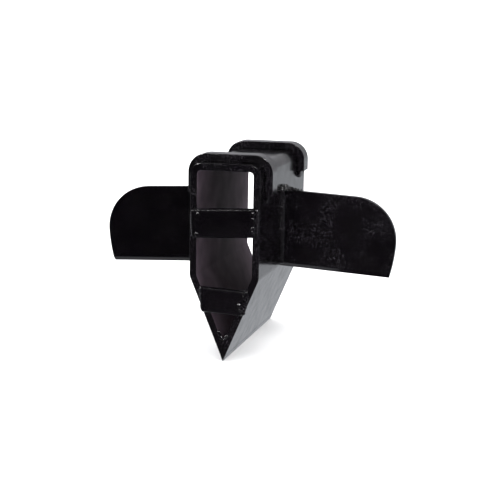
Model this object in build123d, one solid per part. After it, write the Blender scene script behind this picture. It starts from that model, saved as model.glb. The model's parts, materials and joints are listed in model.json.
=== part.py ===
from build123d import *

import math
import os

# Winged post anchor spike: a sleeve of thick plate with a keel, two side wings, two saddle
# collars and two cross straps, all welded.  Millimetres.  +Z is up, +Y runs along the sleeve
# from the strapped front end to the open rear end, +X is to the right seen from the front.
# The origin is on the sleeve's flat top, midway along it.

# ---- body ----
plate = 6.35                 # wall of the sleeve
body_width = 65.0            # across the two side walls, outside
side_height = 103.5          # flat top to the start of the taper
taper_height = 77.5          # start of the taper to the keel
body_length = 182.6
corner_radius = 10.0         # outer radius of the top corners
taper_bend_radius = 12.0     # outer radius where the sides turn into the taper
min_inner_radius = 1.5       # tightest inside bend the plate takes

# ---- body welds ----
seam_width = 6.0             # top seam, at the surface
seam_depth = 4.6
keel_edge_height = 5.0       # ground weld metal that makes the sharp keel
keel_root_leg = 4.6          # inside fillet in the V
keel_root_length = 32.0      # at each end of the sleeve
bead_roundness = 0.3         # of every fillet: 0 is a quarter circle, larger is flatter

# ---- saddle collars ----
collar_thickness = 7.3
collar_width = 19.0
collar_inset = 16.5          # clear length of sleeve outside each collar
front_collar_leg_end = 29.0  # leg ends below the flat top
rear_collar_leg_end = 20.5
collar_toe_leg = 6.5         # weld below each leg

# ---- cross straps on the front end ----
strap_thickness = 6.35
strap_edge_radius = 2.9
upper_strap_end_inset = 3.4  # strap's ends, inside the side walls' outer faces
upper_strap_height = 26.6
upper_strap_top = 39.4       # strap's top edge below the flat top, at mid-width
upper_strap_tilt = 3.1       # degrees, right end up
lower_strap_height = 23.5
lower_strap_top = 8.8        # strap's top edge below the start of the taper
lower_strap_top_inset = 7.56  # strap's upper corners, inside the taper's outer faces
lower_strap_bottom_inset = 0.455  # strap's lower corners, likewise
lower_strap_tilt = -2.4      # degrees, right end down
strap_weld_leg = 3.4

# ---- wings ----
wing_thickness = 6.35
wing_height = 73.9
wing_reach = 108.6           # side wall to the outermost point
wing_corner_radius = 41.5    # rounded upper outer corner
wing_tip_inset = 4.0         # the lower outer corner stands inside the outermost point
wing_root_below_taper = 2.0  # lower edge at the wall, below the start of the taper
wing_root_from_front = 85.4  # front face, from the front end
wing_droop = 2.9             # degrees, outer end lower than the root
wing_bevel_height = 3.6      # ground lower edge, on the front face
wing_bevel_depth = 2.6
wing_weld_leg = 4.6
wing_top_weld_rise = 6.6     # weld in the corner over the wing, up the wall
wing_top_weld_run = 15.0     # and out along the wing

half_width = body_width / 2
half_length = body_length / 2
keel_depth = side_height + taper_height
taper_angle = math.atan2(half_width, taper_height)
upper_strap_length = body_width - 2 * upper_strap_end_inset


def width_at(depth):
    """Outside width of the sleeve at a depth below the start of the taper."""
    return body_width * (1 - depth / taper_height)


lower_strap_top_width = width_at(lower_strap_top) - 2 * lower_strap_top_inset
lower_strap_bottom_width = (width_at(lower_strap_top + lower_strap_height)
                            - 2 * lower_strap_bottom_inset)


def inner_radius(outer):
    return max(outer - plate, min_inner_radius)


def house_outline(inset):
    """The sleeve's five-sided section, its walls moved inwards by inset."""
    side = half_width - inset
    tip = keel_depth - inset / math.sin(taper_angle)
    shoulder = tip - side * taper_height / half_width
    corners = [(-side, -inset), (side, -inset), (side, -shoulder), (0, -tip), (-side, -shoulder)]
    return corners


def rounded_house(inset, top_radius, bend_radius):
    """The five-sided section as a face on the XZ plane, with rounded top corners and bends."""
    corners = house_outline(inset)
    face = Sketch() + make_face(Polyline(*corners, close=True))
    top = [v for v in face.vertices() if v.Y > corners[0][1] - 0.01]
    face = fillet(top, top_radius)
    bends = [v for v in face.vertices() if abs(v.Y - corners[2][1]) < 0.01]
    return fillet(bends, bend_radius)


def along_sleeve(face, start, end):
    """Extrude a face drawn in X and Z from one place along Y to another."""
    front = Plane(origin=(0, start, 0), x_dir=(1, 0, 0), z_dir=(0, -1, 0))
    return extrude(front * face, amount=start - end)


def box_between(low, high):
    size = [b - a for a, b in zip(low, high)]
    middle = [(a + b) / 2 for a, b in zip(low, high)]
    return Pos(*middle) * Box(*size)


def bead(start, end, first_leg, second_leg, leg, sink=1.0):
    """A convex fillet bead along a corner line.  first_leg and second_leg are unit vectors
    from the corner along the two surfaces; sink runs it on into the plates, to be cut back."""
    start, end = Vector(start), Vector(end)
    first, second = Vector(first_leg), Vector(second_leg)
    along = (end - start).normalized()
    if first.cross(second).dot(along) < 0:
        first, second = second, first
    plane = Plane(origin=start, x_dir=first, z_dir=along)
    offset = leg * bead_roundness
    radius = math.hypot(leg + offset, offset)
    middle = radius / math.sqrt(2) - offset
    crown = ThreePointArc((leg, 0), (middle, middle), (0, leg))
    edge = Polyline((0, leg), (-sink, leg), (-sink, -sink), (leg, -sink), (leg, 0))
    return extrude(plane * make_face([crown, edge]), amount=(end - start).length)


def body_section():
    outer = rounded_house(0, corner_radius, taper_bend_radius)
    inner = rounded_house(plate, inner_radius(corner_radius), inner_radius(taper_bend_radius))
    return outer - inner


def seam_groove():
    """The V groove along the middle of the flat top, where the two halves meet."""
    corners = [(-seam_width / 2, 0), (seam_width / 2, 0), (0, -seam_depth)]
    return along_sleeve(make_face(Polyline(*corners, close=True)), -half_length, half_length)


def keel_edge():
    """The ground weld that makes the sharp lower edge."""
    half = keel_edge_height * math.tan(taper_angle)
    top = keel_edge_height - keel_depth
    corners = [(-half, top), (half, top), (0, -keel_depth)]
    return along_sleeve(make_face(Polyline(*corners, close=True)), -half_length, half_length)


def body_half(side, shell):
    far = 2 * body_width
    keep = box_between((min(0, side * far), -far, -far - keel_depth), (max(0, side * far), far, far))
    return shell & keep


def keel_root_weld(start, end, shell):
    """A fillet down in the V, from start to end along Y."""
    tip = keel_depth - plate / math.sin(taper_angle)
    reach = keel_root_leg * math.cos(taper_angle)
    half = keel_root_leg * math.sin(taper_angle)
    crown = -tip + reach - half * 0.45
    lower = (0, -tip - 1.0)
    top = ThreePointArc((-half, -tip + reach), (0, crown), (half, -tip + reach))
    sides = Polyline((half, -tip + reach), lower, (-half, -tip + reach))
    return along_sleeve(make_face([top, sides]), start, end) - shell


def collar(start, end, leg_end):
    """A flat bar bent over the top of the sleeve, its legs down both sides."""
    outer = half_width + collar_thickness
    loop_height = 2 * leg_end
    outer_face = Pos(0, -leg_end) * RectangleRounded(
        2 * outer, loop_height + 2 * collar_thickness, corner_radius + collar_thickness)
    inner_face = Pos(0, -leg_end) * RectangleRounded(body_width, loop_height, corner_radius)
    bar = along_sleeve(outer_face - inner_face, start, end)
    drop = box_between((-2 * outer, start - 1, -leg_end), (2 * outer, end + 1, outer))
    return bar & drop


def collar_toe_weld(side, start, end, leg_end):
    """The weld below one leg of a collar, tapering to the side wall."""
    wall = side * half_width
    level = -leg_end
    outer = (wall + side * collar_thickness, level)
    low = (wall, level - collar_toe_leg)
    bulge = (wall + side * collar_thickness * 0.62, level - collar_toe_leg * 0.56)
    face = make_face([ThreePointArc(outer, bulge, low), Polyline(low, (wall, level), outer)])
    return along_sleeve(face, start, end)


def strap_bar(outline, tilt, centre_depth):
    """A round-edged flat bar lying on the sleeve's front end."""
    bar = along_sleeve(make_face(Polyline(*outline, close=True)),
                       -half_length - strap_thickness, -half_length)
    long_edges = [e for e in bar.edges() if abs((e @ 0).Z - (e @ 1).Z) < 0.01 and e.length > 20]
    bar = fillet(long_edges, min(strap_edge_radius, strap_thickness / 2 - 0.1))
    return Pos(0, 0, -centre_depth) * Rot(0, -tilt, 0) * bar


def upper_strap():
    x, z = upper_strap_length / 2, upper_strap_height / 2
    outline = [(-x, -z), (x, -z), (x, z), (-x, z)]
    return strap_bar(outline, upper_strap_tilt, upper_strap_top + z)


def lower_strap():
    top, bottom, z = lower_strap_top_width / 2, lower_strap_bottom_width / 2, lower_strap_height / 2
    outline = [(-bottom, -z), (bottom, -z), (top, z), (-top, z)]
    return strap_bar(outline, lower_strap_tilt, side_height + lower_strap_top + z)


def strap_end_weld(side, strap, top_x, bottom_x, height, tilt, centre_depth):
    """A bead down one end of a strap, lying on the wall's end face."""
    turn = Pos(0, -half_length, -centre_depth) * Rot(0, -tilt, 0)
    margin = strap_edge_radius
    top = turn * Pos(side * top_x, 0, height / 2 - margin)
    bottom = turn * Pos(side * bottom_x, 0, margin - height / 2)
    run = bead(top.position, bottom.position, (side, 0, 0), (0, -1, 0), strap_weld_leg)
    wall = box_between((-body_width, -half_length, -2 * keel_depth), (body_width, half_length, body_width))
    return run - strap - wall


def upper_strap_weld(side, strap):
    half = upper_strap_length / 2
    return strap_end_weld(side, strap, half, half, upper_strap_height, upper_strap_tilt,
                          upper_strap_top + upper_strap_height / 2)


def lower_strap_weld(side, strap):
    return strap_end_weld(side, strap, lower_strap_top_width / 2, lower_strap_bottom_width / 2,
                          lower_strap_height, lower_strap_tilt,
                          side_height + lower_strap_top + lower_strap_height / 2)


def wing_frame(side):
    """The plane of a wing's front face: X out along the wing, Y up it, Z to the rear,
    origin at the lower corner where the front face meets the line of the side wall."""
    slope = math.tan(math.radians(wing_droop))
    span = Vector(side, 0, -slope).normalized()
    corner = (side * half_width, wing_root_from_front - half_length,
              -side_height - wing_root_below_taper)
    return Plane(origin=corner, x_dir=span, z_dir=(0, -side, 0))


def wing(side, core):
    """One wing, drawn in X and up along its front face and coped to the sleeve."""
    frame = wing_frame(side)
    up = 1 if frame.y_dir.Z > 0 else -1
    rear = 1 if frame.z_dir.Y > 0 else -1
    shoulder = wing_height - wing_corner_radius
    turn_start = wing_reach - wing_corner_radius
    diagonal = wing_corner_radius * math.sqrt(0.5)
    tip = wing_reach - wing_tip_inset
    bow = wing_reach - wing_tip_inset * 0.27
    inside = -half_width / 2
    corner_arc = ThreePointArc((turn_start, up * wing_height),
                               (turn_start + diagonal, up * (shoulder + diagonal)),
                               (wing_reach, up * shoulder))
    outer_arc = ThreePointArc((wing_reach, up * shoulder), (bow, up * shoulder / 2), (tip, 0))
    rest = Polyline((tip, 0), (inside, 0), (inside, up * wing_height),
                    (turn_start, up * wing_height))
    outline = frame * make_face([corner_arc, outer_arc, rest])
    slab = extrude(outline, amount=wing_thickness * rear)
    section = [(0, 0), (wing_bevel_depth, 0), (0, wing_bevel_height)]
    across = Plane(origin=frame.origin - frame.x_dir * half_width, x_dir=(0, 1, 0),
                   z_dir=frame.x_dir)
    if across.y_dir.Z < 0:
        section = [(x, -y) for x, y in section]
    bevel = extrude(across * make_face(Polyline(*section, close=True)), amount=4 * body_width)
    return slab - bevel - core


def wing_root_weld(side, face, plate_solid, core):
    """The bead up one face of a wing's root: face is "front" or "rear"."""
    out = -1 if face == "front" else 1
    y = wing_root_from_front - half_length + (wing_thickness if face == "rear" else 0)
    bottom = -side_height - wing_root_below_taper
    low = bottom + (wing_bevel_height + 1.0 if face == "front" else 2.0)
    high = bottom + wing_height - 1.0
    wall = side * half_width
    run = bead((wall, y, low), (wall, y, high), (side, 0, 0), (0, out, 0), wing_weld_leg)
    return run - plate_solid - core


def wing_top_weld(side, core):
    """The weld in the corner between a wing's top edge and the side wall."""
    frame = wing_frame(side)
    up = 1 if frame.y_dir.Z > 0 else -1
    rear = 1 if frame.z_dir.Y > 0 else -1
    wall = -wing_height * math.tan(math.radians(wing_droop))
    inside = -half_width / 2
    low, high = up * wing_height, up * (wing_height + wing_top_weld_rise)
    section = [(inside, low), (wall + wing_top_weld_run, low), (wall, high), (inside, high)]
    outline = frame * make_face(Polyline(*section, close=True))
    return extrude(outline, amount=wing_thickness * rear) - core


def build():
    core = along_sleeve(rounded_house(0, corner_radius, taper_bend_radius), -half_length, half_length)
    shell = along_sleeve(body_section(), -half_length, half_length)
    groove, edge = seam_groove(), keel_edge()
    plates = shell - groove - edge
    front = -half_length
    front_collar = (front + collar_inset, front + collar_inset + collar_width)
    rear_collar = (-front_collar[1], -front_collar[0])
    straps = {"upper": upper_strap(), "lower": lower_strap()}
    nodes = {
        "left_body_half": body_half(-1, plates),
        "right_body_half": body_half(1, plates),
        "top_seam_weld": groove & shell,
        "keel_edge_weld": edge,
        "front_keel_root_weld": keel_root_weld(front, front + keel_root_length, shell),
        "rear_keel_root_weld": keel_root_weld(-front - keel_root_length, -front, shell),
        "front_collar": collar(*front_collar, front_collar_leg_end),
        "rear_collar": collar(*rear_collar, rear_collar_leg_end),
        "upper_cross_strap": straps["upper"],
        "lower_cross_strap": straps["lower"],
    }
    for word, side in (("left", -1), ("right", 1)):
        nodes[f"front_collar_{word}_toe_weld"] = collar_toe_weld(
            side, *front_collar, front_collar_leg_end)
        nodes[f"rear_collar_{word}_toe_weld"] = collar_toe_weld(
            side, *rear_collar, rear_collar_leg_end)
        nodes[f"upper_strap_{word}_weld"] = upper_strap_weld(side, straps["upper"])
        nodes[f"lower_strap_{word}_weld"] = lower_strap_weld(side, straps["lower"])
        plate_solid = wing(side, core)
        nodes[f"{word}_wing"] = plate_solid
        nodes[f"{word}_wing_top_weld"] = wing_top_weld(side, core)
        for face in ("front", "rear"):
            nodes[f"{word}_wing_{face}_weld"] = wing_root_weld(side, face, plate_solid, core)
    return nodes


def main():
    os.makedirs("parts", exist_ok=True)
    for name, solid in build().items():
        export_step(solid, f"parts/{name}.step")


main()
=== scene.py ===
"""Looks for a winged wedge sleeve in gloss black enamel, built round its CAD frame."""

import json
import math
import random

import bpy
from mathutils import Matrix, Vector

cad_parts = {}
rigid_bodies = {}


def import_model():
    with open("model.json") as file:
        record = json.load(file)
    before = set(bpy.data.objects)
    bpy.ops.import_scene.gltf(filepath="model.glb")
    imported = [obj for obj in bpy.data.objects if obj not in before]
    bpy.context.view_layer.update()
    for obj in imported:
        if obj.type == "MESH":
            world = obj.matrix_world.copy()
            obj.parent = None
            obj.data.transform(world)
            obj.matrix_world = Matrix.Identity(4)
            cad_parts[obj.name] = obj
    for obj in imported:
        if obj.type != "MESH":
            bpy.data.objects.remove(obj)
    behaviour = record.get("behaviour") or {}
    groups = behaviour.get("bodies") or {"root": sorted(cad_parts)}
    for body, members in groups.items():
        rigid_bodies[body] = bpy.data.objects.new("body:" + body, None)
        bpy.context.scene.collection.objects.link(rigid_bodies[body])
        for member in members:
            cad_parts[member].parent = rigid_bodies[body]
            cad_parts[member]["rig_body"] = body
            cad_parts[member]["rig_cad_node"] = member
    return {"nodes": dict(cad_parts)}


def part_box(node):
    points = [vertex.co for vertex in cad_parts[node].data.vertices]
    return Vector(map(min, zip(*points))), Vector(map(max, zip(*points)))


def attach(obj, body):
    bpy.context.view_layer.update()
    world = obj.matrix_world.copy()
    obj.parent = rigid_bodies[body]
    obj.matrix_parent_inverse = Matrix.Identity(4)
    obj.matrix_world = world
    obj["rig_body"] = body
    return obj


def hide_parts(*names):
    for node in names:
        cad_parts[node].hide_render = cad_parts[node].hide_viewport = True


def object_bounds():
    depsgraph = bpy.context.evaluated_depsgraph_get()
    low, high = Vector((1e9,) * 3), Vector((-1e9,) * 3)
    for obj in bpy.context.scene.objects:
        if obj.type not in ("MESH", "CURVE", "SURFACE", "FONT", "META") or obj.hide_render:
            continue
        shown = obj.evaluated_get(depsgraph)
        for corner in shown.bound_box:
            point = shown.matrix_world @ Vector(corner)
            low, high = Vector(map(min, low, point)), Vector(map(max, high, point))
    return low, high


bl_info = {
    "name": "Winged Wedge Sleeve",
    "version": (1, 0, 0),
    "blender": (4, 5, 0),
    "location": "View3D > Sidebar > Wedge",
    "description": "Adds the eased plates, weld beads, enamel and studio of a winged wedge sleeve",
    "category": "Add Mesh",
}

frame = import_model()
cad_low, cad_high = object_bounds()

MM = 0.001
ROOT = "root"
SIDES = (("left", -1), ("right", 1))

# Places on the object, in metres, read from its CAD nodes.
sleeve_low, sleeve_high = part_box("right_body_half")
WALL = sleeve_high.x
FRONT_END = sleeve_low.y
KEEL = cad_low.z


# ---------------------------------------------------------------- sizes and colours

def linear(hex_colour):
    """An sRGB hex colour as linear red, green and blue."""
    channels = [int(hex_colour[i:i + 2], 16) / 255 for i in (1, 3, 5)]
    return [c / 12.92 if c <= 0.04045 else ((c + 0.055) / 1.055) ** 2.4 for c in channels]


class WedgeFinish(bpy.types.PropertyGroup):
    enamel: bpy.props.FloatVectorProperty(
        name="Enamel", description="Colour of the black enamel", subtype="COLOR",
        size=3, min=0, max=1, default=linear("#040305"))
    overspray: bpy.props.FloatVectorProperty(
        name="Overspray", description="Colour of the thin dry coat inside the sleeve",
        subtype="COLOR", size=3, min=0, max=1, default=linear("#5b4f59"))
    heavy_overspray: bpy.props.FloatVectorProperty(
        name="Heavy overspray", description="Colour inside the sleeve where most of it reached",
        subtype="COLOR", size=3, min=0, max=1, default=linear("#272025"))
    dust: bpy.props.FloatVectorProperty(
        name="Dust", description="Colour of the fine dust held in the enamel", subtype="COLOR",
        size=3, min=0, max=1, default=linear("#57535a"))
    peel_size: bpy.props.FloatProperty(
        name="Orange peel", description="Distance between the bumps of the sprayed coat",
        unit="LENGTH", default=2.4 * MM, min=0.0002)
    peel_height: bpy.props.FloatProperty(
        name="Peel height", description="Height of the bumps of the sprayed coat",
        unit="LENGTH", default=0.05 * MM, min=0)
    scale_size: bpy.props.FloatProperty(
        name="Mill scale", description="Distance between the hollows of the rolled plate",
        unit="LENGTH", default=14.0 * MM, min=0.001)


class WedgeSizes(bpy.types.PropertyGroup):
    plate_edge: bpy.props.FloatProperty(
        name="Plate edge", description="Easing of the cut plate edges",
        unit="LENGTH", default=0.55 * MM, min=0)
    bar_edge: bpy.props.FloatProperty(
        name="Bar edge", description="Easing of the flat bar edges",
        unit="LENGTH", default=0.9 * MM, min=0)
    bead_pitch: bpy.props.FloatProperty(
        name="Bead pitch", description="Distance from one ripple of a weld to the next",
        unit="LENGTH", default=2.6 * MM, min=0.0005)
    bead_grain: bpy.props.FloatProperty(
        name="Bead grain", description="Smallest shape kept in a weld bead",
        unit="LENGTH", default=0.5 * MM, min=0.0002)
    seed: bpy.props.IntProperty(
        name="Seed", description="Picks another set of uneven weld ripples", default=7)


class WedgeStudio(bpy.types.PropertyGroup):
    floor: bpy.props.FloatVectorProperty(
        name="Floor", description="Colour of the paper floor", subtype="COLOR",
        size=3, min=0, max=1, default=linear("#f7f7f8"))
    cloth: bpy.props.FloatVectorProperty(
        name="Cloth", description="What the front faces mirror on the right", subtype="COLOR",
        size=3, min=0, max=1, default=linear("#4b454c"))
    dark_cloth: bpy.props.FloatVectorProperty(
        name="Dark cloth", description="What the front faces mirror on the left",
        subtype="COLOR", size=3, min=0, max=1, default=linear("#1c191d"))
    ceiling: bpy.props.FloatVectorProperty(
        name="Mirrored ceiling", description="What the eased upper edges mirror",
        subtype="COLOR", size=3, min=0, max=1, default=linear("#6e6a70"))
    softbox: bpy.props.FloatProperty(
        name="Softboxes", description="Strength of the two small lights that make the glints",
        default=90.0, min=0)
    strip_light: bpy.props.FloatProperty(
        name="Strip light", description="Strength of the long light that the top edges mirror",
        default=3.0, min=0)
    mirrored_floor: bpy.props.FloatVectorProperty(
        name="Mirrored floor", description="What the side walls and the taper mirror",
        subtype="COLOR", size=3, min=0, max=1, default=linear("#d3d6db"))
    mirrored_wall: bpy.props.FloatVectorProperty(
        name="Mirrored wall", description="What the flat top mirrors",
        subtype="COLOR", size=3, min=0, max=1, default=linear("#b4b4b8"))
    surround: bpy.props.FloatProperty(
        name="Surround", description="Strength of the white room", default=2.1, min=0)
    top_light: bpy.props.FloatProperty(
        name="Top light", description="Power of the soft light overhead",
        unit="POWER", default=10.0, min=0)
    lens: bpy.props.FloatProperty(
        name="Lens", description="Focal length of the camera",
        unit="CAMERA", default=93.05, min=10)
    distance: bpy.props.FloatProperty(
        name="Distance", description="Camera to the point that it aims at",
        unit="LENGTH", default=1.1667, min=0.1)
    aim_height: bpy.props.FloatProperty(
        name="Aim height", description="Height of the point on the front end that it aims at",
        unit="LENGTH", default=-0.0942)
    aim_right: bpy.props.FloatProperty(
        name="Aim right", description="How far right of the picture's middle that point stands",
        unit="LENGTH", default=-0.02361)
    aim_up: bpy.props.FloatProperty(
        name="Aim up", description="How far above the picture's middle that point stands",
        unit="LENGTH", default=-0.01634)
    azimuth: bpy.props.FloatProperty(
        name="Azimuth", description="Camera turned to the right of straight ahead",
        subtype="ANGLE", default=math.radians(14.59))
    elevation: bpy.props.FloatProperty(
        name="Elevation", description="Camera height above level",
        subtype="ANGLE", default=math.radians(10.14))
    roll: bpy.props.FloatProperty(
        name="Roll", description="Camera turned about its own line of sight",
        subtype="ANGLE", default=math.radians(0.98))


def sizes():
    return bpy.context.scene.wedge_sizes


def looks():
    return bpy.context.scene.wedge_finish


# ---------------------------------------------------------------- small helpers

def deselect_all():
    if bpy.context.mode != "OBJECT":
        bpy.ops.object.mode_set(mode="OBJECT")
    bpy.ops.object.select_all(action="DESELECT")


def activate(piece):
    deselect_all()
    piece.select_set(True)
    bpy.context.view_layer.objects.active = piece


def apply_place(piece):
    activate(piece)
    bpy.ops.object.transform_apply(location=True, rotation=True, scale=True)


def settle(piece, material, slot, *nodes):
    """Give a finished piece its material and its body, and hide the nodes that it stands for."""
    piece.data.materials.clear()
    piece.data.materials.append(material)
    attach(piece, ROOT)
    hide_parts(*nodes)


# ---------------------------------------------------------------- finishes

def add_node(tree, kind, settings=None, values=None, links=None):
    """Add one node: settings are its own properties, values its unlinked sockets,
    links its sockets fed from another node's output."""
    node = tree.nodes.new(kind)
    for key, value in (settings or {}).items():
        setattr(node, key, value)
    for key, value in (values or {}).items():
        node.inputs[key].default_value = value
    for key, source in (links or {}).items():
        tree.links.new(source, node.inputs[key])
    return node


def ramp_between(node, low, high):
    node.color_ramp.elements[0].position = low
    node.color_ramp.elements[1].position = high
    return node


# Sizes of what shows in the coats.
NIB_SIZE = 0.9 * MM        # drawn coarser than real dust, so that it shows
NIB_HEIGHT = 0.03 * MM
DUST_PATCH = 22 * MM
SPRAY_CLOUD = 26 * MM
DROPLET = 0.8 * MM         # drawn coarser than real half-dry spray, so that it shows
DROPLET_HEIGHT = 0.02 * MM


def enamel(name, peel, waviness, dust_amount, rough, stretch=(1, 1, 1)):
    """Black alkyd enamel sprayed on steel: a hard gloss with orange peel from the spray, the
    hollows of the mill scale showing through, and fine dust that dried in the coat."""
    finish = looks()
    material = bpy.data.materials.new(name)
    material.use_nodes = True
    tree = material.node_tree
    tree.nodes.clear()
    place = add_node(tree, "ShaderNodeTexCoord").outputs["Object"]
    along = add_node(tree, "ShaderNodeMapping", values={"Scale": stretch},
                     links={"Vector": place}).outputs["Vector"]
    # orange peel: soft bumps a couple of millimetres apart
    peel_noise = add_node(tree, "ShaderNodeTexNoise",
                          values={"Scale": 1 / finish.peel_size, "Detail": 2.0, "Roughness": 0.45},
                          links={"Vector": place})
    # mill scale: shallow hollows over a centimetre across
    scale_noise = add_node(tree, "ShaderNodeTexNoise",
                           values={"Scale": 1 / finish.scale_size, "Detail": 3.0, "Roughness": 0.55},
                           links={"Vector": along})
    # dust nibs: they stand at the peaks of one noise, in the patches of a slower one
    nibs = add_node(tree, "ShaderNodeTexNoise",
                    values={"Scale": 1 / NIB_SIZE, "Detail": 2.0, "Roughness": 0.6},
                    links={"Vector": place})
    patches = add_node(tree, "ShaderNodeTexNoise",
                       values={"Scale": 1 / DUST_PATCH, "Detail": 2.0},
                       links={"Vector": place})
    nib_mask = ramp_between(add_node(tree, "ShaderNodeValToRGB",
                                     links={"Fac": nibs.outputs["Fac"]}), 0.56, 0.70)
    patch_mask = ramp_between(add_node(tree, "ShaderNodeValToRGB",
                                       links={"Fac": patches.outputs["Fac"]}), 0.38, 0.66)
    dusty = add_node(tree, "ShaderNodeMath", {"operation": "MULTIPLY"},
                     links={0: nib_mask.outputs["Color"], 1: patch_mask.outputs["Color"]})
    amount = add_node(tree, "ShaderNodeMath", {"operation": "MULTIPLY"}, {1: dust_amount},
                      {0: dusty.outputs[0]})
    colour = add_node(tree, "ShaderNodeMix", {"data_type": "RGBA"},
                      {6: (*finish.enamel, 1), 7: (*finish.dust, 1)},
                      {0: amount.outputs[0]})
    # the high spots of the scale keep a little less gloss than its hollows
    roughness = add_node(tree, "ShaderNodeMapRange",
                         values={"From Min": 0.3, "From Max": 0.7,
                                 "To Min": rough[0], "To Max": rough[1]},
                         links={"Value": scale_noise.outputs["Fac"]})
    hollows = add_node(tree, "ShaderNodeBump",
                       values={"Strength": 1.0, "Distance": waviness},
                       links={"Height": scale_noise.outputs["Fac"]})
    peeled = add_node(tree, "ShaderNodeBump",
                      values={"Strength": 1.0, "Distance": peel},
                      links={"Height": peel_noise.outputs["Fac"],
                             "Normal": hollows.outputs["Normal"]})
    nibbed = add_node(tree, "ShaderNodeBump",
                      values={"Strength": 1.0, "Distance": NIB_HEIGHT * dust_amount},
                      links={"Height": dusty.outputs[0], "Normal": peeled.outputs["Normal"]})
    shader = add_node(tree, "ShaderNodeBsdfPrincipled", values={"IOR": 1.5},
                      links={"Base Color": colour.outputs[2],
                             "Roughness": roughness.outputs["Result"],
                             "Normal": nibbed.outputs["Normal"]})
    add_node(tree, "ShaderNodeOutputMaterial", links={"Surface": shader.outputs["BSDF"]})
    return material


def plate_enamel():
    """The coat on rolled plate, whose mill scale shows as long soft waves."""
    return enamel("gloss_enamel_on_rolled_plate", peel=looks().peel_height,
                  waviness=0.045 * MM, dust_amount=0.42, rough=(0.10, 0.22))


def darker_low_dust_enamel():
    """The same coat with next to no dust in it, which renders darker; on the left wing this darker
    copy is painted shade.
    """
    return enamel("gloss_enamel_low_dust_darker", peel=looks().peel_height * 0.8,
                  waviness=0.08 * MM, dust_amount=0.08, rough=(0.10, 0.20))


def bar_enamel():
    """The same coat on flat bar, whose mill scale is drawn out along the bar."""
    return enamel("gloss_enamel_on_flat_bar", peel=looks().peel_height * 1.3,
                  waviness=0.12 * MM, dust_amount=0.95, rough=(0.12, 0.26),
                  stretch=(1, 1, 0.5))


def weld_enamel():
    """The same coat over a weld, thicker in the hollows and rougher from spatter."""
    return enamel("gloss_enamel_on_weld_bead", peel=looks().peel_height * 1.8,
                  waviness=0.16 * MM, dust_amount=0.7, rough=(0.12, 0.24))


def dull_weld_enamel():
    """The same coat over spatter and soot, which take its gloss away."""
    return enamel("dull_enamel_on_spatter", peel=looks().peel_height * 1.8,
                  waviness=0.16 * MM, dust_amount=0.15, rough=(0.50, 0.62))


def overspray():
    """The thin dry edge of the spray inside the sleeve, over rolled plate: nearly matt."""
    finish = looks()
    material = bpy.data.materials.new("dry_overspray_inside")
    material.use_nodes = True
    tree = material.node_tree
    tree.nodes.clear()
    place = add_node(tree, "ShaderNodeTexCoord").outputs["Object"]
    # clouds where more or less of the spray reached, some centimetres across
    clouds = add_node(tree, "ShaderNodeTexNoise",
                      values={"Scale": 1 / SPRAY_CLOUD, "Detail": 2.0, "Roughness": 0.5},
                      links={"Vector": place})
    colour = add_node(tree, "ShaderNodeMix", {"data_type": "RGBA"},
                      {6: (*finish.heavy_overspray, 1), 7: (*finish.overspray, 1)},
                      {0: clouds.outputs["Fac"]})
    # a grain of half-dry droplets
    grain = add_node(tree, "ShaderNodeTexNoise",
                     values={"Scale": 1 / DROPLET, "Detail": 2.0},
                     links={"Vector": place})
    grained = add_node(tree, "ShaderNodeBump",
                       values={"Strength": 1.0, "Distance": DROPLET_HEIGHT},
                       links={"Height": grain.outputs["Fac"]})
    shader = add_node(tree, "ShaderNodeBsdfPrincipled",
                      values={"Roughness": 0.7, "Specular IOR Level": 0.05},
                      links={"Base Color": colour.outputs[2], "Normal": grained.outputs["Normal"]})
    add_node(tree, "ShaderNodeOutputMaterial", links={"Surface": shader.outputs["BSDF"]})
    return material


made_materials = {}


def cached(maker):
    """The material that a maker gives, made only once."""
    if maker.__name__ not in made_materials:
        made_materials[maker.__name__] = maker()
    return made_materials[maker.__name__]


# ---------------------------------------------------------------- plates and bars

MERGE = 0.01 * MM                   # corners closer than this are one corner
SAME_FACE = math.radians(0.4)       # triangles turned by less than this are one face
CUT_EDGE = math.radians(32)         # edges turned by more than this are cut, and are eased


def eased_copy(node, name, edge):
    """A copy of a CAD plate whose sharp edges are eased as a grinder leaves them."""
    activate(frame["nodes"][node])
    bpy.ops.object.duplicate()
    piece = bpy.context.view_layer.objects.active
    piece.name = name
    piece.data.name = name
    piece.parent = None
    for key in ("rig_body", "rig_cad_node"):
        if key in piece:
            del piece[key]
    activate(piece)
    bpy.ops.object.mode_set(mode="EDIT")
    bpy.ops.mesh.select_all(action="SELECT")
    bpy.ops.mesh.remove_doubles(threshold=MERGE)
    bpy.ops.mesh.dissolve_limited(angle_limit=SAME_FACE)
    bpy.ops.mesh.normals_make_consistent(inside=False)
    bpy.ops.object.mode_set(mode="OBJECT")
    bpy.ops.object.shade_smooth_by_angle(angle=CUT_EDGE)
    ease = piece.modifiers.new("ease", "BEVEL")
    ease.width = edge
    ease.segments = 3
    ease.limit_method = "ANGLE"
    ease.angle_limit = CUT_EDGE
    ease.harden_normals = True
    bpy.ops.object.modifier_apply(modifier=ease.name)
    return piece


def coat_inside(piece, material):
    """Give the faces that look at the sleeve's axis a material of their own."""
    axis = Vector((0, 0, KEEL / 3))
    deselect_all()
    for face in piece.data.polygons:
        reach = face.center - axis
        inward = reach.x * face.normal.x + reach.z * face.normal.z < -1 * MM
        end_face = abs(face.normal.y) >= 0.3
        face.select = inward and not end_face
    piece.data.materials.append(material)
    activate(piece)
    bpy.ops.object.mode_set(mode="EDIT")
    piece.active_material_index = len(piece.data.materials) - 1
    bpy.ops.object.material_slot_assign()
    bpy.ops.object.mode_set(mode="OBJECT")


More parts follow.
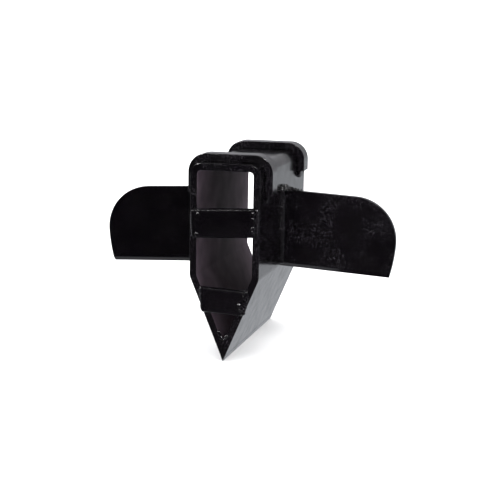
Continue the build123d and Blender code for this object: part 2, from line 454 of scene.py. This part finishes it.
class WEDGE_OT_sleeve_plates(bpy.types.Operator):
    """Ease the edges of the two bent plates that make the sleeve"""
    bl_idname = "wedge.sleeve_plates"
    bl_label = "Sleeve Plates"

    def execute(self, context):
        for word, _ in SIDES:
            node = f"{word}_body_half"
            piece = eased_copy(node, f"{word}_sleeve_plate", sizes().plate_edge)
            settle(piece, cached(plate_enamel), "painted_plate", node)
            coat_inside(piece, cached(overspray))
        return {"FINISHED"}


class WEDGE_OT_wing_plates(bpy.types.Operator):
    """Ease the edges of the two side wings"""
    bl_idname = "wedge.wing_plates"
    bl_label = "Wing Plates"

    def execute(self, context):
        for word, _ in SIDES:
            node = f"{word}_wing"
            piece = eased_copy(node, f"{word}_wing_plate", sizes().plate_edge)
            # the left wing takes the darker near-dustless copy of the coat: painted shade, so that
            # it reads darker than the right wing
            coat = cached(darker_low_dust_enamel if word == "left" else plate_enamel)
            settle(piece, coat, "painted_plate", node)
        return {"FINISHED"}


class WEDGE_OT_collars(bpy.types.Operator):
    """Ease the edges of the two saddle collars bent from flat bar"""
    bl_idname = "wedge.collars"
    bl_label = "Saddle Collars"

    def execute(self, context):
        for node in ("front_collar", "rear_collar"):
            piece = eased_copy(node, f"{node}_bar", sizes().bar_edge)
            settle(piece, cached(bar_enamel), "painted_bar", node)
        return {"FINISHED"}


class WEDGE_OT_cross_straps(bpy.types.Operator):
    """Ease the ends of the two round-edged straps across the front"""
    bl_idname = "wedge.cross_straps"
    bl_label = "Cross Straps"

    def execute(self, context):
        for node in ("upper_cross_strap", "lower_cross_strap"):
            piece = eased_copy(node, f"{node}_bar", sizes().bar_edge * 0.6)
            settle(piece, cached(darker_low_dust_enamel), "painted_bar", node)
        return {"FINISHED"}


class WEDGE_OT_ground_seams(bpy.types.Operator):
    """Paint the ground top seam and the sharp keel edge"""
    bl_idname = "wedge.ground_seams"
    bl_label = "Ground Seams"

    def execute(self, context):
        for node in ("top_seam_weld", "keel_edge_weld"):
            frame["nodes"][node].data.materials.clear()
            frame["nodes"][node].data.materials.append(cached(plate_enamel))
        return {"FINISHED"}


# ---------------------------------------------------------------- weld beads

# How uneven the ripples of a bead are.
SWELL = (0.90, 1.10)       # share of its full size that a ripple has
STRAY = 0.12               # how far it stands out of place, as a share of the pitch
LEAN_STRAY = 0.08
HALF_RIPPLE = 0.82         # half of its length, as a share of the pitch


def add_ripple(centre, along, across, half_length, half_width, half_height):
    """One frozen ripple of weld metal: a flattened ball across the line of the bead."""
    up = along.cross(across).normalized()
    turn = Matrix((along, across, up)).transposed().to_euler()
    bpy.ops.mesh.primitive_uv_sphere_add(
        segments=12, ring_count=6, radius=1, location=centre, rotation=turn,
        scale=(half_length, half_width, half_height))


def lay_bead(start, end, outward, reach, width, height, rng, lean=0.30):
    """Lay overlapping ripples from start to end.  outward points away from the corner,
    reach is how far along it the ripples' middles stand, and lean tips each ripple."""
    start, end, outward = Vector(start), Vector(end), Vector(outward).normalized()
    along = (end - start).normalized()
    pitch = sizes().bead_pitch
    count = max(2, round((end - start).length / pitch))
    for i in range(count + 1):
        swell = rng.uniform(*SWELL)
        place = start.lerp(end, i / count) + outward * reach * swell
        place += along * rng.uniform(-STRAY, STRAY) * pitch
        tip = lean + rng.uniform(-LEAN_STRAY, LEAN_STRAY)
        tilted = (along + outward * tip).normalized()
        side = tilted.cross(outward).normalized()
        add_ripple(place, tilted, side, pitch * HALF_RIPPLE, width * swell, height * swell)


def add_blob(place, radius, rng):
    """A round drop of weld metal, a little out of true."""
    along = Vector((rng.uniform(-1, 1), rng.uniform(-1, 1), rng.uniform(0.2, 1))).normalized()
    across = along.orthogonal().normalized()
    add_ripple(place, along, across, radius * rng.uniform(1.0, 1.3), radius, radius * 0.9)


def bead_piece(name, lay):
    """Lay ripples with lay() inside one new mesh and melt them into one solid bead."""
    deselect_all()
    bpy.ops.mesh.primitive_uv_sphere_add(segments=8, ring_count=4, radius=0.1 * MM)
    piece = bpy.context.view_layer.objects.active
    piece.name = name
    piece.data.name = name
    bpy.ops.object.mode_set(mode="EDIT")
    bpy.ops.mesh.select_all(action="SELECT")
    bpy.ops.mesh.delete(type="VERT")
    lay()
    bpy.ops.object.mode_set(mode="OBJECT")
    apply_place(piece)
    melt = piece.modifiers.new("melt", "REMESH")
    melt.mode = "VOXEL"
    melt.voxel_size = sizes().bead_grain
    bpy.ops.object.modifier_apply(modifier=melt.name)
    soften = piece.modifiers.new("soften", "SMOOTH")
    soften.factor = 0.5
    soften.iterations = 2
    bpy.ops.object.modifier_apply(modifier=soften.name)
    bpy.ops.object.mode_set(mode="EDIT")
    bpy.ops.mesh.select_all(action="SELECT")
    bpy.ops.mesh.normals_make_consistent(inside=False)
    bpy.ops.object.mode_set(mode="OBJECT")
    bpy.ops.object.shade_smooth()
    return piece


def seeded(name):
    """A random stream of a bead's own, so that each bead keeps its look."""
    return random.Random(f"{sizes().seed} {name}")


class WEDGE_OT_wing_root_beads(bpy.types.Operator):
    """Lay the vertical beads up both faces of each wing's root"""
    bl_idname = "wedge.wing_root_beads"
    bl_label = "Wing Root Beads"

    def execute(self, context):
        for word, side in SIDES:
            wing_low, wing_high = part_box(f"{word}_wing")
            for face, out in (("front", -1), ("rear", 1)):
                node = f"{word}_wing_{face}_weld"
                low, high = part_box(node)
                corner_y = wing_low.y if face == "front" else wing_high.y
                leg = high.y - low.y
                rng = seeded(node)

                def lay():
                    corner_x = side * WALL
                    outward = (side, out, 0)
                    lay_bead((corner_x, corner_y, low.z), (corner_x, corner_y, high.z), outward,
                             reach=leg * 0.30, width=leg * 0.80, height=leg * 0.52, rng=rng)

                piece = bead_piece(f"{word}_wing_{face}_bead", lay)
                settle(piece, cached(weld_enamel), "painted_weld", node)
        return {"FINISHED"}


TOP_WELD_DROPS = 70
TOP_WELD_SPILL = 2.5 * MM      # how far the drops spill past the wing's thickness


class WEDGE_OT_wing_top_beads(bpy.types.Operator):
    """Build up the rough weld in the corner over each wing's root"""
    bl_idname = "wedge.wing_top_beads"
    bl_label = "Wing Top Beads"

    def execute(self, context):
        for word, side in SIDES:
            node = f"{word}_wing_top_weld"
            low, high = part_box(node)
            rng = seeded(node)
            run, rise = high.x - low.x, high.z - low.z
            middle, spread = (low.y + high.y) / 2, (high.y - low.y) / 2 + TOP_WELD_SPILL

            def lay():
                # most drops fall close to the wall, where they also pile up highest
                for _ in range(TOP_WELD_DROPS):
                    out = rng.random() ** 1.6
                    over = rng.random() ** 1.5 * (1 - out) ** 1.3
                    place = (side * (WALL + out * run * 1.2),
                             middle + rng.uniform(-1, 1) * spread * (1 - 0.85 * over),
                             low.z + (0.3 * MM + over * rise * 0.78))
                    size = rng.uniform(0.8, 1.9) * MM * (1.2 - out * 0.7) * (1 - 0.45 * over)
                    add_blob(place, size, rng)

            piece = bead_piece(f"{word}_wing_top_bead", lay)
            settle(piece, cached(dull_weld_enamel), "painted_weld", node)
        return {"FINISHED"}


# Rows of weld under a collar leg, the lower the shorter: how much of the leg's width each end
# of the lowest row gives up, which makes a V under the rear legs and a blunter one in front.
TOE_NARROWING = {"front": 0.22, "rear": 0.40}
TOE_INSET = 1.6 * MM


class WEDGE_OT_collar_toe_beads(bpy.types.Operator):
    """Lay the beads that hold the toes of the collar legs to the side walls"""
    bl_idname = "wedge.collar_toe_beads"
    bl_label = "Collar Toe Beads"

    def execute(self, context):
        for end in ("front", "rear"):
            for word, side in SIDES:
                node = f"{end}_collar_{word}_toe_weld"
                low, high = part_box(node)
                drop, bar, wide = high.z - low.z, high.x - low.x, high.y - low.y
                rng = seeded(node)

                def lay():
                    for row in (0.0, 0.5, 1.0):
                        inset = TOE_INSET + row * TOE_NARROWING[end] * wide
                        level = high.z - drop * (0.12 + 0.70 * row)
                        lay_bead((side * WALL, low.y + inset, level),
                                 (side * WALL, high.y - inset, level), (side, 0, 0),
                                 reach=bar * (0.52 - 0.34 * row) * 0.5,
                                 width=bar * (0.50 - 0.18 * row), height=drop * 0.34, rng=rng)

                piece = bead_piece(f"{end}_collar_{word}_toe_bead", lay)
                settle(piece, cached(weld_enamel), "painted_weld", node)
        return {"FINISHED"}


# Drops where each strap bead was started and stopped: share of the way down the bead, distance
# in from the strap's end and radius, the last two in millimetres.
STRAP_DROPS = {
    ("upper", "left"): ((0.06, 6.2, 2.3), (0.95, 4.4, 2.4)),
    ("upper", "right"): ((0.10, 1.7, 2.1), (0.32, 1.4, 1.9), (0.74, 1.0, 2.1), (0.92, 0.8, 2.0)),
    ("lower", "left"): ((0.20, 1.0, 1.2),),
    ("lower", "right"): ((0.10, 1.4, 1.4), (0.58, 3.2, 2.6), (0.80, 1.8, 2.3)),
}
DROP_SUNK = 0.9 * MM           # how far a drop's middle stands behind the strap's face


class WEDGE_OT_strap_end_beads(bpy.types.Operator):
    """Lay the short beads down the ends of the cross straps"""
    bl_idname = "wedge.strap_end_beads"
    bl_label = "Strap End Beads"

    def execute(self, context):
        for level in ("upper", "lower"):
            for word, side in SIDES:
                node = f"{level}_strap_{word}_weld"
                low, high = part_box(node)
                rng = seeded(node)
                leg = high.y - low.y
                strap_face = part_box(f"{level}_cross_strap")[0].y
                inner = low.x if side > 0 else high.x
                # the lower strap's ends follow the taper, so their beads start further out
                flare = max(0, high.x - low.x - leg)
                top = Vector((inner + flare * side, FRONT_END, high.z))
                bottom = Vector((inner, FRONT_END, low.z))

                def lay():
                    lay_bead(top, bottom, (side, -1, 0),
                             reach=leg * 0.28, width=leg * 0.80, height=leg * 0.55, rng=rng)
                    # drops at the starts and stops of the bead, lapped over the strap's face
                    for share, back, radius in STRAP_DROPS[level, word]:
                        place = top.lerp(bottom, share)
                        place.x -= side * back * MM
                        place.y = strap_face + DROP_SUNK
                        add_blob(place, radius * MM, rng)

                piece = bead_piece(f"{level}_strap_{word}_bead", lay)
                settle(piece, cached(weld_enamel), "painted_weld", node)
        return {"FINISHED"}


KEEL_ROOT_INSET = 1.5 * MM     # from the sleeve's end to the first ripple
KEEL_SPATTER = 12
SPATTER_RISE = 7.5             # how far the spatter climbs, in millimetres
SPATTER_DEPTH = 0.4 * MM


class WEDGE_OT_keel_root_beads(bpy.types.Operator):
    """Lay the beads down in the V at both ends of the sleeve"""
    bl_idname = "wedge.keel_root_beads"
    bl_label = "Keel Root Beads"

    def execute(self, context):
        for end in ("front", "rear"):
            node = f"{end}_keel_root_weld"
            low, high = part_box(node)
            rng = seeded(node)
            rise = high.z - low.z

            def lay():
                lay_bead((0, low.y + KEEL_ROOT_INSET, high.z),
                         (0, high.y - KEEL_ROOT_INSET, high.z), (0, 0, 1),
                         reach=-rise * 0.42, width=rise * 0.52, height=rise * 0.42, rng=rng,
                         lean=0.45)
                # spatter where the bead starts, on both walls of the V
                mouth = low.y + SPATTER_DEPTH if end == "front" else high.y - SPATTER_DEPTH
                for _ in range(KEEL_SPATTER):
                    up = rng.uniform(0.0, SPATTER_RISE) * MM
                    wall_x = (high.x - low.x) / 2 * (1 + up / rise)
                    add_blob((rng.choice((-1, 1)) * wall_x, mouth + rng.uniform(-0.5, 0.5) * MM,
                              high.z + up), rng.uniform(1.1, 1.9) * MM, rng)

            piece = bead_piece(f"{end}_keel_root_bead", lay)
            settle(piece, cached(weld_enamel), "painted_weld", node)
        return {"FINISHED"}


# ---------------------------------------------------------------- studio

CREASE_SIZE = 1 / 7.0          # metres from one fold of the hanging cloth to the next
BOARD = 0.01                   # thickness of the floor and of every card


def matt_material(name, colour):
    material = bpy.data.materials.new(name)
    material.use_nodes = True
    shader = material.node_tree.nodes["Principled BSDF"]
    shader.inputs["Base Color"].default_value = (*colour, 1)
    shader.inputs["Roughness"].default_value = 0.9
    return material


def glow_material(name, colour, strength=1.0, folds=0.0):
    """A card of even brightness.  folds makes it uneven, as hanging cloth is."""
    material = bpy.data.materials.new(name)
    material.use_nodes = True
    tree = material.node_tree
    tree.nodes.clear()
    place = add_node(tree, "ShaderNodeTexCoord").outputs["Object"]
    creases = add_node(tree, "ShaderNodeTexNoise",
                       values={"Scale": 1 / CREASE_SIZE, "Detail": 3.0, "Roughness": 0.6},
                       links={"Vector": place})
    level = add_node(tree, "ShaderNodeMapRange",
                     values={"From Min": 0.32, "From Max": 0.68,
                             "To Min": strength * (1 - folds), "To Max": strength * (1 + folds)},
                     links={"Value": creases.outputs["Fac"]})
    glow = add_node(tree, "ShaderNodeEmission", values={"Color": (*colour, 1)},
                    links={"Strength": level.outputs["Result"]})
    add_node(tree, "ShaderNodeOutputMaterial", links={"Surface": glow.outputs["Emission"]})
    return material


def stage_card(name, low, high, material):
    """A flat card of the studio, such as the paper floor."""
    deselect_all()
    low, high = Vector(low), Vector(high)
    bpy.ops.mesh.primitive_cube_add(size=1, location=(low + high) / 2, scale=high - low)
    card = bpy.context.view_layer.objects.active
    card.name = name
    apply_place(card)
    card.data.materials.append(material)
    return card


def mirror_card(name, low, high, material):
    """A card that shows only where the gloss mirrors it, as a screen out of the picture does."""
    card = stage_card(name, low, high, material)
    card.visible_camera = False
    card.visible_diffuse = False
    card.visible_shadow = False
    return card


def camera_axes(studio):
    """The camera's backward, right and up directions."""
    az, el = studio.azimuth, studio.elevation
    back = Vector((math.sin(az) * math.cos(el), -math.cos(az) * math.cos(el), math.sin(el)))
    right = (-back).cross(Vector((0, 0, 1))).normalized()
    up = right.cross(-back)
    c, s = math.cos(studio.roll), math.sin(studio.roll)
    return back, c * right + s * up, c * up - s * right


class WEDGE_OT_stage(bpy.types.Operator):
    """Set the paper floor, the cards that the gloss mirrors, the light and the camera"""
    bl_idname = "wedge.stage"
    bl_label = "Studio"

    def execute(self, context):
        studio = context.scene.wedge_studio
        scene = context.scene
        scene.view_settings.view_transform = "Standard"
        paper = matt_material("white_paper", studio.floor)
        stage_card("paper_floor", (-4, -4, KEEL - BOARD), (4, 6, KEEL), paper)

        # what the gloss mirrors: uneven dark cloth in front and beside, grey behind and above
        cloth = glow_material("black_cloth", studio.cloth, folds=0.9)
        dark_cloth = glow_material("darker_cloth", studio.dark_cloth, folds=0.9)
        grey_floor = glow_material("grey_floor_mirrored", studio.mirrored_floor)
        grey_wall = glow_material("grey_wall_mirrored", studio.mirrored_wall)
        ceiling = glow_material("ceiling_mirrored", studio.ceiling)
        softbox = glow_material("small_softbox", (1, 1, 1), studio.softbox)
        strip = glow_material("strip_softbox", (1, 1, 1), studio.strip_light)
        left, right, front, rear, top = -3, 3, -3, 5, 4
        lift = KEEL + 0.2 * MM
        # where the floor's cards meet: past the left wing's tip, just in front of the sleeve,
        # and round the darker one beside the right wing
        shade, split = -0.19, FRONT_END - BOARD
        wing_near, wing_far, wing_back = 0.07, 0.2, 0.03
        ceiling_split = 0.6
        for name, low, high, material in (
            ("cloth_floor_left", (left, front, KEEL), (shade, split, lift), dark_cloth),
            ("cloth_floor_right", (shade, front, KEEL), (right, split, lift), cloth),
            ("cloth_floor_by_wing", (wing_near, split, KEEL), (wing_far, wing_back, lift),
             dark_cloth),
            ("grey_floor_right", (wing_far, split, KEEL), (right, wing_back, lift), grey_floor),
            ("cloth_screen", (left, front - BOARD, KEEL), (right, front, top), cloth),
            ("cloth_left", (left - BOARD, front, KEEL), (left, rear, top), cloth),
            ("cloth_right", (right, front, KEEL), (right + BOARD, rear, top), cloth),
            ("grey_floor_by_keel", (left, split, KEEL), (wing_near, wing_back, lift), grey_floor),
            ("grey_floor", (left, wing_back, KEEL), (right, rear, lift), grey_floor),
            ("grey_wall", (left, rear, KEEL), (right, rear + BOARD, top), grey_wall),
            ("ceiling", (left, front, top), (right, ceiling_split, top + BOARD), ceiling),
            ("rear_ceiling", (left, ceiling_split, top), (right, rear, top + BOARD), grey_wall),
            ("strip_light", (0.25, -0.6, 3.0), (0.75, 1.6, 3.0 + BOARD), strip),
            ("softbox_left", (-1.6, -1.5, 1.6), (-1.0, -0.9, 1.6 + BOARD), softbox),
            ("softbox_right", (0.7, -1.1, 1.7), (1.2, -0.6, 1.7 + BOARD), softbox),
        ):
            mirror_card(name, low, high, material)

        world = bpy.data.worlds.new("white_room")
        world.use_nodes = True
        world.node_tree.nodes["Background"].inputs["Color"].default_value = (1, 1, 1, 1)
        world.node_tree.nodes["Background"].inputs["Strength"].default_value = studio.surround
        scene.world = world

        deselect_all()
        bpy.ops.object.light_add(type="AREA", location=(0.3, 0.5, 1.7))
        light = context.view_layer.objects.active
        light.name = "soft_top_light"
        light.data.shape = "RECTANGLE"
        light.data.size, light.data.size_y = 2.2, 1.6
        light.data.energy = studio.top_light
        light.visible_glossy = False

        back, right, up = camera_axes(studio)
        aim = Vector((0, FRONT_END, studio.aim_height))
        data = bpy.data.cameras.new("camera")
        data.sensor_width = 36
        data.lens = studio.lens
        camera = bpy.data.objects.new("camera", data)
        scene.collection.objects.link(camera)
        place = aim - studio.aim_right * right - studio.aim_up * up + studio.distance * back
        turn = Matrix((right, up, back)).transposed().to_4x4()
        camera.matrix_world = Matrix.Translation(place) @ turn
        scene.camera = camera
        return {"FINISHED"}


# ---------------------------------------------------------------- panel and start

STEPS = (
    WEDGE_OT_sleeve_plates, WEDGE_OT_wing_plates, WEDGE_OT_collars, WEDGE_OT_cross_straps,
    WEDGE_OT_ground_seams, WEDGE_OT_wing_root_beads, WEDGE_OT_wing_top_beads,
    WEDGE_OT_collar_toe_beads, WEDGE_OT_strap_end_beads, WEDGE_OT_keel_root_beads, WEDGE_OT_stage,
)


class WEDGE_PT_panel(bpy.types.Panel):
    """The pieces of the wedge sleeve, in the order in which they are made"""
    bl_idname = "WEDGE_PT_panel"
    bl_label = "Wedge Sleeve"
    bl_space_type = "VIEW_3D"
    bl_region_type = "UI"
    bl_category = "Wedge"

    def draw(self, context):
        for step in STEPS:
            self.layout.operator(step.bl_idname)
        for group in (context.scene.wedge_sizes, context.scene.wedge_finish,
                      context.scene.wedge_studio):
            box = self.layout.box()
            for key in group.bl_rna.properties.keys():
                if key not in ("rna_type", "name"):
                    box.prop(group, key)


GROUPS = (("wedge_finish", WedgeFinish), ("wedge_sizes", WedgeSizes), ("wedge_studio", WedgeStudio))


def register():
    for name, group in GROUPS:
        bpy.utils.register_class(group)
        setattr(bpy.types.Scene, name, bpy.props.PointerProperty(type=group))
    for step in STEPS:
        bpy.utils.register_class(step)
    bpy.utils.register_class(WEDGE_PT_panel)


def unregister():
    bpy.utils.unregister_class(WEDGE_PT_panel)
    for step in reversed(STEPS):
        bpy.utils.unregister_class(step)
    for name, group in reversed(GROUPS):
        delattr(bpy.types.Scene, name)
        bpy.utils.unregister_class(group)


def main():
    register()
    for step in STEPS:
        family, action = step.bl_idname.split(".")
        getattr(getattr(bpy.ops, family), action)()


if __name__ == "__main__":
    main()
